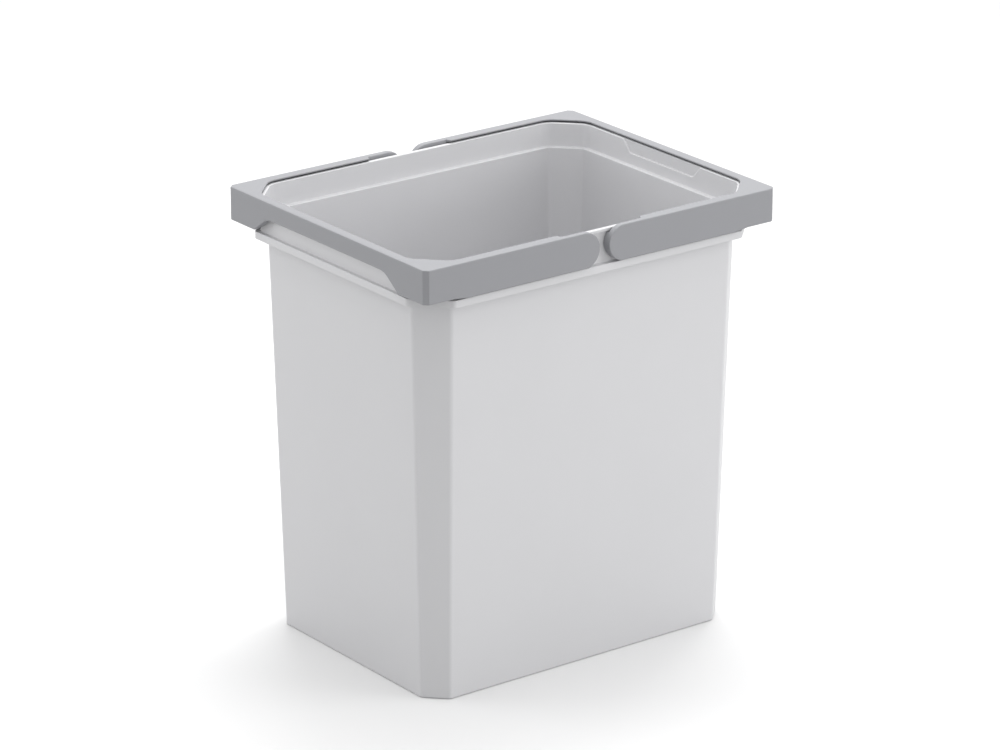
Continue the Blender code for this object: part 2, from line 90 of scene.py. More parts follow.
# Collar above the ledge, with the lip bead round its top
COLLAR_SET_BACK_END = 0.0075
COLLAR_SET_BACK_SIDE = 0.0082
COLLAR_CHAMFER = 0.0242
COLLAR_CORNER_ROUND = 0.016
COLLAR_FOOT_CHAMFER = 0.0235
COLLAR_FOOT_CORNER_ROUND = 0.005
COLLAR_WALL = 0.0021
COLLAR_DRAFT = 0.0005
LIP_DROP = 0.0026
LIP_REACH = 0.0015
LIP_HEIGHT = 0.0025
LIP_ROUND = 0.0006
BEAD_ROUND = 0.0004
LEDGE_DROP = 0.0215
LEDGE_THICKNESS = 0.0024
LEDGE_ROUND = 0.0005

# Shoulder under the collar, a skirt that hangs clear of the walls
SHOULDER_DROP = 0.0294
SHOULDER_HEIGHT = 0.0061
SHOULDER_REACH_END = 0.0034
SHOULDER_REACH_SIDE = 0.0044
SHOULDER_CHAMFER = 0.0255
SHOULDER_CORNER_ROUND = 0.005
SHOULDER_FALL = 0.0001
SHOULDER_ROUND = 0.0005
HEM_ROUND = 0.0003
SHELTER_ROUND = 0.0006
COVE_ROUND = 0.001

# Finger recess inside the collar at each short side, with a pad behind it for the wall
RECESS_TOP_WIDTH = 0.0952
RECESS_FLOOR_WIDTH = 0.0776
RECESS_HEIGHT = 0.0097
RECESS_INSET = 0.0012
RECESS_ROUND = 0.0025
RECESS_EDGE_ROUND = 0.0008
RECESS_OVERRUN = 0.002
BACKING_MARGIN = 0.0016
BACKING_ROOT = 0.0005
BACKING_EDGE_ROUND = 0.0004

# Pivot stubs and the gaps that the handles run with
PIVOT_RADIUS = 0.004
PIVOT_LENGTH = 0.0053
PIVOT_LEAD_IN = 0.0006
PIVOT_ROOT = 0.001
RUNNING_GAP = 0.0003
HUB_CLEARANCE = 0.0004

# Handle frame: flange on top, skirt outside, gusset in each corner
SKIRT_DEPTH = 0.0266
SKIRT_WALL = 0.0024
CORNER_FLAT = 0.0035
CORNER_ROUND = 0.0005
FLANGE_WIDTH_END = 0.0084
FLANGE_WIDTH_SIDE = 0.0091
FLANGE_THICKNESS = 0.0011
GUSSET = 0.0227
GUSSET_ROUND = 0.016
OUTER_EDGE_ROUND = 0.0008
INNER_EDGE_ROUND = 0.0005
EDGE_LINE = 0.002

# Raised grip in the middle of the short side, with a thick wall to hold it by
GRIP_WIDTH = 0.1512
GRIP_DEPTH = 0.0138
GRIP_THICKNESS = 0.0051
GRIP_RAMP = 0.0174
GRIP_ROUND = 0.0186
RAMP_FOOT_ROUND = 0.003

# Tails of the handle, solid bars with round tips, a little deeper than the corners
TIP_GAP = 0.0087
TAIL_DEPTH = 0.0281
TAIL_SLOPE_SET_IN = 0.026
TAIL_SLOPE_LENGTH = 0.014
TAIL_LENGTH = 0.0331
TAIL_THICKNESS = 0.0051
TAIL_EDGE_ROUND = 0.0018
FLANGE_END_LENGTH = 0.002
TIP_BLOCK_STEP = 0.0004
TIP_BLOCK_ROOT = 0.001

# Rest ribs under the flange beside the grip, which sit on the lip
REST_RIB_PLACE = 0.058
REST_RIB_WIDTH = 0.0012
REST_RIB_REACH = 0.0022
REST_RIB_ROOT = 0.0008

# Where a ring keeps its half width and its height. A handle's section keeps the ring's
# values with its drop in place of the height, then its hang and its whole drop.
HALF_WIDTH_PLACE = 1
HEIGHT_PLACE = 4
WHOLE_DROP_PLACE = 6

# Counts and shares
CORNER_STEPS = 10
PROFILE_STEPS = 5
GRIP_STEPS = 16
TIP_STEPS = 48
PIVOT_SIDES = 64
HALF_SHARE = 0.5
SHARED_LEG_SHARE = 0.45
WHOLE_LEG_SHARE = 0.9
SKIRT_OUTER_LINE_SHARE = 0.5
SKIRT_INNER_LINE_SHARE = 0.25

# A chamfer's leg grows by this share of the distance that its outline moves out
CHAMFER_GROWTH_SHARE = 2 - math.sqrt(2)
EIGHTH_TURN = math.pi / 4
QUARTER_TURN = math.pi / 2
SHARP_ANGLE = math.radians(28)

# Places that follow from the sizes
TIP_RADIUS = TAIL_DEPTH / 2
LIP_TOP = RIM_HEIGHT - LIP_DROP
LEDGE_TOP = RIM_HEIGHT - LEDGE_DROP
LEDGE_UNDERSIDE = LEDGE_TOP - LEDGE_THICKNESS
SHOULDER_TOP = RIM_HEIGHT - SHOULDER_DROP
SHOULDER_UNDERSIDE = SHOULDER_TOP - SHOULDER_HEIGHT
COLLAR_HALF_LENGTH = RIM_LENGTH / 2 - COLLAR_SET_BACK_END
COLLAR_HALF_WIDTH = RIM_WIDTH / 2 - COLLAR_SET_BACK_SIDE
GRIP_INNER_FACE = RIM_LENGTH / 2 - GRIP_THICKNESS
TAIL_INNER_FACE = RIM_WIDTH / 2 - TAIL_THICKNESS
WELD = 0.000001


def rounded_corner(before, corner, after, radius, shares, steps, plane):
    """The points of an arc that replaces a corner, with every value of the corner carried along."""
    u, v = plane
    leg_in = Vector((before[u] - corner[u], before[v] - corner[v]))
    leg_out = Vector((after[u] - corner[u], after[v] - corner[v]))
    turn = math.pi - leg_in.angle(leg_out)
    reach = min(
        radius * math.tan(turn / 2),
        shares[0] * leg_in.length,
        shares[1] * leg_out.length,
    )
    radius = reach / math.tan(turn / 2)
    inward = (leg_in.normalized() + leg_out.normalized()).normalized()
    centre = inward * (radius / math.cos(turn / 2))
    first = leg_in.normalized() * reach - centre
    last = leg_out.normalized() * reach - centre
    area = leg_in.cross(leg_out)
    points = []
    for step in range(steps + 1):
        done = step / steps
        spoke = first * math.sin(turn - done * turn) + last * math.sin(done * turn)
        place = centre + spoke / math.sin(turn)
        along_in = place.cross(leg_out) / area
        along_out = leg_in.cross(place) / area
        points.append(
            tuple(
                here + along_in * (back - here) + along_out * (ahead - here)
                for back, here, ahead in zip(before, corner, after)
            )
        )
    return points


def softened(corners, radii, steps, closed=False, plane=(0, 1)):
    """A line through the corners whose bends are arcs. A radius of 0 leaves a corner sharp."""
    points = []
    count = len(corners)
    for index, corner in enumerate(corners):
        at_end = not closed and index in (0, count - 1)
        if at_end or radii[index] == 0:
            points.append(tuple(corner))
            continue
        around = ((index - 1) % count, (index + 1) % count)
        shares = [
            SHARED_LEG_SHARE if radii[near] else WHOLE_LEG_SHARE for near in around
        ]
        before, after = (corners[near] for near in around)
        points.extend(
            rounded_corner(before, corner, after, radii[index], shares, steps, plane)
        )
    return points


def moved_out(ring, distance, height):
    """A ring at a height round another one, further out by a distance on every side."""
    length, width, chamfer, curve, _ = ring
    return (
        length + distance,
        width + distance,
        chamfer + CHAMFER_GROWTH_SHARE * distance,
        max(curve + distance, CORNER_ROUND),
        height,
    )


def ring_corners(ring):
    """The outline of a ring from its middle front, anticlockwise: a rectangle with cut corners."""
    length, width, chamfer, curve = ring[:4]
    corners = [
        (length - chamfer, -width),
        (length, chamfer - width),
        (length, width - chamfer),
        (length - chamfer, width),
        (chamfer - length, width),
        (-length, width - chamfer),
        (-length, chamfer - width),
        (chamfer - length, -width),
    ]
    return softened(corners, [curve] * len(corners), CORNER_STEPS, closed=True)


def lofted(rows, closed_rows=True):
    """A skin of quads over rows of points, each row joined to the next."""
    form = bmesh.new()
    made = [[form.verts.new(point) for point in row] for row in rows]
    count = len(rows[0])
    for lower, upper in zip(made, made[1:]):
        for index in range(count if closed_rows else count - 1):
            after = (index + 1) % count
            form.faces.new((lower[index], lower[after], upper[after], upper[index]))
    return form, made


def add_form(form, added):
    """Adds the faces of one bmesh to another, and frees the first."""
    scratch = bpy.data.meshes.new("scratch")
    added.to_mesh(scratch)
    added.free()
    form.from_mesh(scratch)
    bpy.data.meshes.remove(scratch)


def mesh_object(name, form, place=(0, 0, 0)):
    """A mesh object made from a bmesh, its faces turned outwards."""
    bmesh.ops.remove_doubles(form, verts=form.verts[:], dist=WELD)
    bmesh.ops.recalc_face_normals(form, faces=form.faces[:])
    mesh = bpy.data.meshes.new(name)
    form.to_mesh(mesh)
    form.free()
    thing = bpy.data.objects.new(name, mesh)
    thing.location = place
    bpy.context.scene.collection.objects.link(thing)
    return thing


def add_prism(form, outline, start, end):
    """Adds the solid between a flat outline at start and the same outline at end."""
    travel = Vector(end) - Vector(start)
    face = form.faces.new([form.verts.new(Vector(start) + Vector(p)) for p in outline])
    grown = bmesh.ops.extrude_face_region(form, geom=[face])
    moved = [item for item in grown["geom"] if isinstance(item, bmesh.types.BMVert)]
    bmesh.ops.translate(form, vec=travel, verts=moved)


def add_round_bar(form, radius, start, end, lead_in=0):
    """Adds a round bar along Y from start to end. Its far rim is cut back by lead_in."""
    start, end = Vector(start), Vector(end)
    turned = Matrix.Rotation(-math.copysign(QUARTER_TURN, end.y - start.y), 4, "X")
    made = bmesh.ops.create_cone(
        form,
        cap_ends=True,
        segments=PIVOT_SIDES,
        radius1=radius,
        radius2=radius,
        depth=(end - start).length,
        matrix=Matrix.Translation((start + end) / 2) @ turned,
    )
    if lead_in:
        rim = {
            edge
            for vert in made["verts"]
            for edge in vert.link_edges
            if all(abs(point.co.y - end.y) < WELD for point in edge.verts)
        }
        bmesh.ops.bevel(
            form,
            geom=list(rim),
            offset=lead_in,
            segments=PROFILE_STEPS,
            profile=HALF_SHARE,
            affect="EDGES",
        )


def joined_by(thing, tool, operation):
    """Unites the tool with the thing or cuts it away, and removes the tool."""
    boolean = thing.modifiers.new(tool.name, "BOOLEAN")
    boolean.operation = operation
    boolean.object = tool
    boolean.solver = "EXACT"
    applied(thing)
    bpy.data.objects.remove(tool)


def applied(thing):
    """Turns the thing's modifiers into its mesh."""
    graph = bpy.context.evaluated_depsgraph_get()
    mesh = bpy.data.meshes.new_from_object(thing.evaluated_get(graph))
    thing.modifiers.clear()
    thing.data = mesh


def shaded(thing):
    """Shades the curves smooth, keeps the flats flat and the hard corners hard."""
    thing.data.shade_smooth()
    thing.data.set_sharp_from_angle(angle=SHARP_ANGLE)
    weighted = thing.modifiers.new("even shading", "WEIGHTED_NORMAL")
    weighted.keep_sharp = True
    applied(thing)


def body_profile():
    """The rings of the bin from its inside floor up over the lip and down to its base.

    Each entry is a ring and the radius that its edge is rounded with in the wall's section.
    A ring is half its length, half its width, the leg of its cut corners, the radius of
    their ends and its height.
    """
    collar = (
        COLLAR_HALF_LENGTH,
        COLLAR_HALF_WIDTH,
        COLLAR_CHAMFER,
        COLLAR_CORNER_ROUND,
        SHOULDER_TOP,
    )
    base = (
        BASE_LENGTH / 2,
        BASE_WIDTH / 2,
        BASE_CHAMFER,
        BASE_CORNER_ROUND,
        0,
    )
    mouth = (
        collar[0] - MOUTH_SET_IN_END,
        collar[1] - MOUTH_SET_IN_SIDE,
        MOUTH_CHAMFER,
        MOUTH_CORNER_ROUND,
        LEDGE_TOP,
    )

    def wall_at(height):
        """The outside of the drafted wall at a height."""
        risen = height / LEDGE_TOP
        return tuple(low + risen * (high - low) for low, high in zip(base, mouth))

    def inside(height):
        """The inside of the drafted wall at a height."""
        return moved_out(wall_at(height), -WALL, height)

    collar_foot = (
        COLLAR_HALF_LENGTH,
        COLLAR_HALF_WIDTH,
        COLLAR_FOOT_CHAMFER,
        COLLAR_FOOT_CORNER_ROUND,
        SHOULDER_TOP,
    )
    brow = SHOULDER_TOP - SHOULDER_FALL
    shoulder = (
        collar[0] + SHOULDER_REACH_END,
        collar[1] + SHOULDER_REACH_SIDE,
        SHOULDER_CHAMFER,
        SHOULDER_CORNER_ROUND,
        brow,
    )
    return [
        (inside(FOOT_HEIGHT + FLOOR_THICKNESS), FLOOR_ROUND),
        (inside(LEDGE_TOP), LEDGE_ROUND),
        (moved_out(collar, -COLLAR_WALL - COLLAR_DRAFT, LEDGE_TOP), LEDGE_ROUND),
        (moved_out(collar, -COLLAR_WALL, LIP_TOP), LIP_ROUND),
        (moved_out(collar, LIP_REACH, LIP_TOP), LIP_ROUND),
        (moved_out(collar, LIP_REACH, LIP_TOP - LIP_HEIGHT), BEAD_ROUND),
        (moved_out(collar, 0, LIP_TOP - LIP_HEIGHT), BEAD_ROUND),
        (collar_foot, COVE_ROUND),
        (shoulder, SHOULDER_ROUND),
        (moved_out(shoulder, 0, SHOULDER_UNDERSIDE), HEM_ROUND),
        (moved_out(shoulder, -WALL, SHOULDER_UNDERSIDE), HEM_ROUND),
        (moved_out(shoulder, -WALL, brow - WALL), SHELTER_ROUND),
        (moved_out(collar, -WALL, SHOULDER_TOP - WALL), SHELTER_ROUND),
        (moved_out(collar, -WALL, LEDGE_UNDERSIDE), SHELTER_ROUND),
        (wall_at(LEDGE_UNDERSIDE), SHELTER_ROUND),
        (base, BASE_EDGE_ROUND),
        (moved_out(base, -FOOT_WIDTH, 0), FOOT_ROUND),
        (moved_out(base, -FOOT_WIDTH, FOOT_HEIGHT), FOOT_ROUND),
    ]


def body_skin():
    """The closed skin of the bin, before its recesses are cut."""
    profile = body_profile()
    reach = FLOOR_ROUND + WALL
    floor_ring, _ = profile[0]
    floor_middle = (floor_ring[0] - reach, floor_ring[1] - reach) + floor_ring[2:]
    foot_ring, _ = profile[-1]
    base_middle = moved_out(foot_ring, -reach, FOOT_HEIGHT)
    rings = [floor_middle] + [ring for ring, _ in profile] + [base_middle]
    radii = [0] + [radius for _, radius in profile] + [0]
    plane = (HALF_WIDTH_PLACE, HEIGHT_PLACE)
    rings = softened(rings, radii, PROFILE_STEPS, plane=plane)
    rows = [
        [(x, y, ring[HEIGHT_PLACE]) for x, y in ring_corners(ring)] for ring in rings
    ]
    form, made = lofted(rows)
    form.faces.new(made[0])
    form.faces.new(made[-1])
    return form


def recess_outline(margin, top):
    """The tapered outline of a recess, seen from the end of the bin, grown by a margin."""
    slope = (RECESS_TOP_WIDTH - RECESS_FLOOR_WIDTH) / 2 / RECESS_HEIGHT
    floor = LIP_TOP - RECESS_HEIGHT - margin
    floor_half = RECESS_FLOOR_WIDTH / 2 + margin * (math.hypot(1, slope) - slope)
    top_half = floor_half + slope * (top - floor)
    corners = [
        (-top_half, top),
        (-floor_half, floor),
        (floor_half, floor),
        (top_half, top),
    ]
    radius = RECESS_ROUND + margin
    return softened(corners, [0, radius, radius, 0], GRIP_STEPS)


def recess_blocks(name, stations, top):
    """The tapered block of a recess at each end of the bin.

    Each station is a place along X, the margin of the outline there, and the share of the
    collar's draft that it leans by.
    """
    form = bmesh.new()
    for side in (-1, 1):
        rows = []
        for place, margin, leaning in stations:
            lean = leaning * COLLAR_DRAFT / (LIP_TOP - LEDGE_TOP)
            outline = recess_outline(margin, top)
            rows.append([(side * (place + lean * (z - LIP_TOP)), y, z) for y, z in outline])
        block, made = lofted(rows)
        block.faces.new(made[0])
        block.faces.new(made[-1])
        bmesh.ops.recalc_face_normals(block, faces=block.faces[:])
        add_form(form, block)
    return mesh_object(name, form)


def edge_arc(radius):
    """Steps round a rounded edge: one distance grows to its radius as the other falls to 0."""
    for step in range(PROFILE_STEPS + 1):
        angle = QUARTER_TURN * step / PROFILE_STEPS
        yield radius * (1 - math.cos(angle)), radius * (1 - math.sin(angle))


def recess_cutter():
    """The two blocks that take the recesses out of the inside of the collar and its lip.

    Each flares out at the collar's face, which leaves the recess's edge round.
    """
    inner_face = COLLAR_HALF_LENGTH - COLLAR_WALL
    stations = [(inner_face - RECESS_OVERRUN, RECESS_EDGE_ROUND, 1)]
    for along, margin in edge_arc(RECESS_EDGE_ROUND):
        stations.append((inner_face + along, margin, 1))
    stations.append((inner_face + RECESS_INSET, 0, 0))
    return recess_blocks("recess_cutter", stations, LIP_TOP + RECESS_OVERRUN)


def recess_backing():
    """The two pads outside the collar that keep the wall's thickness behind the recesses."""
    outer_face = COLLAR_HALF_LENGTH + RECESS_INSET
    stations = [(COLLAR_HALF_LENGTH - BACKING_ROOT, BACKING_MARGIN, 0)]
    for narrowed, along in edge_arc(BACKING_EDGE_ROUND):
        stations.append((outer_face - along, BACKING_MARGIN - narrowed, 0))
    return recess_blocks("recess_backing", stations, LIP_TOP - LIP_HEIGHT / 2)


def pivot_stubs():
    """The four stubs on the outside of the collar that the handles turn on."""
    root = COLLAR_HALF_WIDTH - PIVOT_ROOT
    tip = COLLAR_HALF_WIDTH + PIVOT_LENGTH
    form = bmesh.new()
    for end in (-1, 1):
        for side in (-1, 1):
            add_round_bar(
                form,
                PIVOT_RADIUS,
                (end * PIVOT_X, side * root, PIVOT_Z),
                (end * PIVOT_X, side * tip, PIVOT_Z),
                PIVOT_LEAD_IN,
            )
    return mesh_object("pivot_stubs", form)


def make_body(material):
    """The bin: one moulding with its ledge, collar, lip, shoulder, recesses and stubs."""
    body = mesh_object("moulded_bin", body_skin())
    joined_by(body, recess_backing(), "UNION")
    joined_by(body, recess_cutter(), "DIFFERENCE")
    joined_by(body, pivot_stubs(), "UNION")
    shaded(body)
    body.data.materials.append(material)
    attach(body, "bin")
    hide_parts("bin_body")


def frame_profile(skirt_wall):
    """The corners of a handle's section and their radii, from the middle of its outer face.

    The section has a flange on top of a skirt with the given wall. Without a wall it is the
    solid tail. Each corner is half the length, half the width, the chamfer and the corner
    radius of the ring that it runs on, its drop below the rim, the share of the skirt's
    depth that it hangs by, and its whole drop at the skirt's full depth. All the sections
    have the same number of corners, so one runs into the next.
    """
    outer = (RIM_LENGTH / 2, RIM_WIDTH / 2, CORNER_FLAT, CORNER_ROUND, 0)
    top_line = moved_out(outer, -EDGE_LINE, 0)
    if skirt_wall is None:
        inner = moved_out(outer, -TAIL_THICKNESS, 0)
        edge = inner
        edge_line = moved_out(inner, EDGE_LINE * HALF_SHARE, 0)
        edge_drop, root_drop = EDGE_LINE, EDGE_LINE + EDGE_LINE
        edge_round = foot_round = TAIL_EDGE_ROUND
        foot_inner, foot_outer = edge_line, top_line
    else:
        inner = moved_out(outer, -skirt_wall, 0)
        edge = (
            RIM_LENGTH / 2 - FLANGE_WIDTH_END,
            RIM_WIDTH / 2 - FLANGE_WIDTH_SIDE,
            GUSSET,
            GUSSET_ROUND,
            0,
        )
        edge_line = moved_out(edge, EDGE_LINE * HALF_SHARE, 0)
        edge_drop = root_drop = FLANGE_THICKNESS
        edge_round = foot_round = INNER_EDGE_ROUND
        foot_inner = moved_out(inner, skirt_wall * SKIRT_INNER_LINE_SHARE, 0)
        foot_outer = moved_out(outer, -skirt_wall * SKIRT_OUTER_LINE_SHARE, 0)

    def corner(ring, drop, hang):
        """A ring as a corner of the section, at a drop and hanging by a share of the skirt."""
        return ring[:HEIGHT_PLACE] + (drop, hang, drop + hang * SKIRT_DEPTH)

    return [
        (corner(outer, 0, HALF_SHARE), 0),
        (corner(outer, EDGE_LINE, 0), 0),
        (corner(outer, 0, 0), OUTER_EDGE_ROUND),
        (corner(top_line, 0, 0), 0),
        (corner(edge_line, 0, 0), 0),
        (corner(edge, 0, 0), edge_round),
        (corner(edge, edge_drop, 0), 0),
        (corner(inner, root_drop, 0), 0),
        (corner(inner, 0, HALF_SHARE), 0),
        (corner(inner, -EDGE_LINE - EDGE_LINE, 1), 0),
        (corner(inner, -EDGE_LINE, 1), 0),
        (corner(inner, 0, 1), foot_round),
        (corner(foot_inner, 0, 1), 0),
        (corner(foot_outer, 0, 1), 0),
        (corner(outer, 0, 1), OUTER_EDGE_ROUND),
        (corner(outer, -EDGE_LINE, 1), 0),
    ]


def frame_section(skirt_wall=None):
    """The rounded section of the handle, as closed points with all their ring values."""
    profile = frame_profile(skirt_wall)
    corners = [corner for corner, _ in profile]
    radii = [radius for _, radius in profile]
    plane = (HALF_WIDTH_PLACE, WHOLE_DROP_PLACE)
    return softened(corners, radii, PROFILE_STEPS, closed=True, plane=plane)


def grip_line():
    """Places along half of the short side, with the skirt's depth at each."""
    grip = GRIP_WIDTH / 2
    foot = grip + GRIP_RAMP
    corners = [
        (0, GRIP_DEPTH),
        (grip, GRIP_DEPTH),
        (foot, SKIRT_DEPTH),
        (foot + EDGE_LINE, SKIRT_DEPTH),
    ]
    return softened(corners, [0, GRIP_ROUND, RAMP_FOOT_ROUND, 0], GRIP_STEPS)


def height_of(point, depth):
    """The height of a section point, from the rim, where the skirt has a depth."""
    drop, hang = point[HEIGHT_PLACE:WHOLE_DROP_PLACE]
    return -drop - hang * depth


def squeeze_share(half, point, last):
    """How far places along a side are drawn in, so that the last is clear of the corner's arc.

    Half is half the side's length, on the ring of the section point.
    """
    _, _, chamfer, curve = point[:HEIGHT_PLACE]
    corner_start = half - chamfer - curve * math.tan(EIGHTH_TURN / 2)
    return min(1, corner_start / (last + EDGE_LINE))


def flanged_way(grip_point, point):
    """The way of one section point from the middle of the grip to the slope of the tail.

    The grip and its ramps have the section of the grip point, and the rest has the other.
    """
    stations = grip_line()
    last, _ = stations[-1]
    sections = [grip_point] * (len(stations) - 1) + [point]
    way = []
    for (place, depth), here in zip(stations, sections):
        length, width = here[:2]
        squeeze = squeeze_share(width, here, last)
        way.append((-length, -place * squeeze, height_of(here, depth)))
    # The last two arcs of the ring are the ends of the cut corner at the left and front
    corner = ring_corners(point)[-2 * (CORNER_STEPS + 1) :]
    way.extend((x, y, height_of(point, SKIRT_DEPTH)) for x, y in corner)
    length, width = point[:2]
    slope_start = RIM_LENGTH / 2 - TAIL_SLOPE_SET_IN
    slope_end = slope_start - TAIL_SLOPE_LENGTH
    squeeze = squeeze_share(length, point, slope_start)
    for place, depth in ((slope_start, SKIRT_DEPTH), (slope_end, TAIL_DEPTH)):
        way.append((-place * squeeze, -width, height_of(point, depth)))
    return way


def handle_rows():
    """The sections of half the left handle, from the middle of its grip to its pivot."""
    grip = frame_section(GRIP_THICKNESS)
    flanged = frame_section(SKIRT_WALL)
    bar = frame_section()
    ways = [flanged_way(*points) for points in zip(grip, flanged)]
    rows = [list(row) for row in zip(*ways)]
    flange_end = TIP_GAP / 2 + TAIL_LENGTH
    stops = [
        (flanged, flange_end + FLANGE_END_LENGTH),
        (bar, flange_end),
        (bar, PIVOT_X),
    ]
    for section, place in stops:
        rows.append(
            [
                (-place, -point[HALF_WIDTH_PLACE], height_of(point, TAIL_DEPTH))
                for point in section
            ]
        )
    return rows


def handle_skin():
    """Half of the left handle's skin, open at the middle of the grip, from its pivot axis."""
    rows = handle_rows()
    rows = [
        [(x + PIVOT_X, y, z + RIM_HEIGHT - PIVOT_Z) for x, y, z in row] for row in rows
    ]
    form, _ = lofted(rows)
    # The upper half of the last section, turned about the pivot axis, makes the round tip
    tip_section = rows[-1]
    upper = tip_section[: len(tip_section) // 2 + 1]
    turned = []
    for step in range(TIP_STEPS + 1):
        angle = math.pi * step / TIP_STEPS
        turned.append(
            [(z * math.sin(angle), y, z * math.cos(angle)) for _, y, z in upper]
        )
    tip, _ = lofted(turned, closed_rows=False)
    add_form(form, tip)
    bmesh.ops.remove_doubles(form, verts=form.verts[:], dist=WELD)
    bmesh.ops.dissolve_degenerate(form, edges=form.edges[:], dist=WELD)
    return form


def tip_block_outline():
    """The outline of the block behind the tip, which turns under the lip bead.

    The hub round the pivot is as large as the bead leaves room for. The block fills the
    round tip below the bead, and stops short where it would turn up into it.
    """
    hub = TIP_RADIUS - LIP_DROP - LIP_HEIGHT - HUB_CLEARANCE
    block = TIP_RADIUS - TIP_BLOCK_STEP
    spare = math.asin(min(1, hub / block))
    arcs = [
        (block, spare, QUARTER_TURN + 2 * spare),
        (hub, -QUARTER_TURN - spare, 3 * QUARTER_TURN - 2 * spare),
    ]
    outline = []
    for radius, first, swing in arcs:
        for step in range(TIP_STEPS + 1):
            angle = first - swing * step / TIP_STEPS
            outline.append((radius * math.cos(angle), 0, radius * math.sin(angle)))
    return outline


def handle_additions(name, end):
    """The tip blocks and rest ribs of one handle, placed from its pivot axis."""
    form = bmesh.new()
    outline = [(-end * x, y, z) for x, y, z in tip_block_outline()]
    hub_face = COLLAR_HALF_WIDTH + RUNNING_GAP
    root = TAIL_INNER_FACE + TIP_BLOCK_ROOT
    rib_foot = LIP_TOP + RUNNING_GAP
    rib_head = RIM_HEIGHT - FLANGE_THICKNESS + REST_RIB_ROOT
    rib_edge = GRIP_INNER_FACE - REST_RIB_REACH
    rib_back = GRIP_INNER_FACE + REST_RIB_ROOT
    size = (rib_back - rib_edge, REST_RIB_WIDTH, rib_head - rib_foot, 1)
    for side in (-1, 1):
        add_prism(form, outline, (0, side * hub_face, 0), (0, side * root, 0))
        place = Matrix.Translation(
            (
                end * ((rib_edge + rib_back) / 2 - PIVOT_X),
                side * REST_RIB_PLACE,
                (rib_head + rib_foot) / 2 - PIVOT_Z,
            )
        )
        bmesh.ops.create_cube(form, size=1, matrix=place @ Matrix.Diagonal(size))
    return mesh_object(name, form, (end * PIVOT_X, 0, PIVOT_Z))


def bore_cutter(name, end):
    """The two blind bores of one handle, placed from its pivot axis."""
    form = bmesh.new()
    mouth = COLLAR_HALF_WIDTH - RUNNING_GAP
    bottom = COLLAR_HALF_WIDTH + PIVOT_LENGTH + RUNNING_GAP
    for side in (-1, 1):
        add_round_bar(
            form,
            PIVOT_RADIUS + RUNNING_GAP,
            (0, side * mouth, 0),
            (0, side * bottom, 0),
        )
    return mesh_object(name, form, (end * PIVOT_X, 0, PIVOT_Z))


def make_handle(side, end, material):
    """One folding handle, at the end of the bin that end names: -1 left, 1 right."""
    form = handle_skin()
    if end > 0:
        bmesh.ops.scale(form, vec=(-1, 1, 1), verts=form.verts[:])
    handle = mesh_object("folding_handle_" + side, form, (end * PIVOT_X, 0, PIVOT_Z))
    mirror = handle.modifiers.new("front and back", "MIRROR")
    mirror.use_axis = (False, True, False)
    mirror.merge_threshold = WELD
    applied(handle)
    joined_by(handle, handle_additions(side + "_blocks", end), "UNION")
    joined_by(handle, bore_cutter(side + "_bores", end), "DIFFERENCE")
    shaded(handle)
    handle.data.materials.append(material)
    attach(handle, "handle_" + side)
    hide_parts("handle_" + side)


# Colours and finish
BODY_COLOUR = (0.66, 0.66, 0.674)
HANDLE_COLOUR = (0.292, 0.295, 0.312)
BODY_ROUGHNESS = 0.46
HANDLE_ROUGHNESS = 0.5
COLOUR_SPREAD_SHARE = 0.02
ROUGHNESS_SPREAD = 0.05
CLOUD_SCALE = 14
CLOUD_DETAIL = 3
GRAIN_SCALE = 2200
GRAIN_DETAIL = 1
GRAIN_DEPTH = 0.00001
GRAIN_STRENGTH = 0.25
WHITE = (1, 1, 1, 1)


def ranged(tree, texture, low, high):
    """A value that runs from low to high with a texture."""
    node = tree.nodes.new("ShaderNodeMapRange")
    node.inputs["To Min"].default_value = low
    node.inputs["To Max"].default_value = high
    tree.links.new(texture, node.inputs["Value"])
    return node.outputs["Result"]


def moulded_plastic(name, colour, roughness):
    """Fine matt polypropylene: a spark-eroded grain, with a faint cloudiness in tone and gloss."""
    material = bpy.data.materials.new(name)
    material.use_nodes = True
    tree = material.node_tree
    shader = tree.nodes["Principled BSDF"]
    place = tree.nodes.new("ShaderNodeTexCoord")

    def noise(scale, detail):
        """A noise that keeps to the piece."""
        node = tree.nodes.new("ShaderNodeTexNoise")
        node.inputs["Scale"].default_value = scale
        node.inputs["Detail"].default_value = detail
        tree.links.new(place.outputs["Object"], node.inputs["Vector"])
        return node.outputs["Fac"]

    cloud = noise(CLOUD_SCALE, CLOUD_DETAIL)
    grain = noise(GRAIN_SCALE, GRAIN_DETAIL)
    tint = tree.nodes.new("ShaderNodeMix")
    tint.data_type = "RGBA"
    shares = (("A", 1 - COLOUR_SPREAD_SHARE), ("B", 1 + COLOUR_SPREAD_SHARE))
    for socket, share in shares:
        tint.inputs[socket].default_value = [part * share for part in colour] + [1]
    tree.links.new(cloud, tint.inputs["Factor"])
    tree.links.new(tint.outputs["Result"], shader.inputs["Base Color"])
    low, high = roughness - ROUGHNESS_SPREAD, roughness + ROUGHNESS_SPREAD
    tree.links.new(ranged(tree, cloud, low, high), shader.inputs["Roughness"])
    bump = tree.nodes.new("ShaderNodeBump")
    bump.inputs["Strength"].default_value = GRAIN_STRENGTH
    bump.inputs["Distance"].default_value = GRAIN_DEPTH
    tree.links.new(grain, bump.inputs["Height"])
    tree.links.new(bump.outputs["Normal"], shader.inputs["Normal"])
    return material


# The floor and the world: how bright each is to the camera, and to the surfaces it lights
FLOOR_SIZE = 30
FLOOR_SHOWN = 0.84
FLOOR_BOUNCE = 0.5
WORLD_SHOWN = 1
WORLD_STRENGTH = 0.7


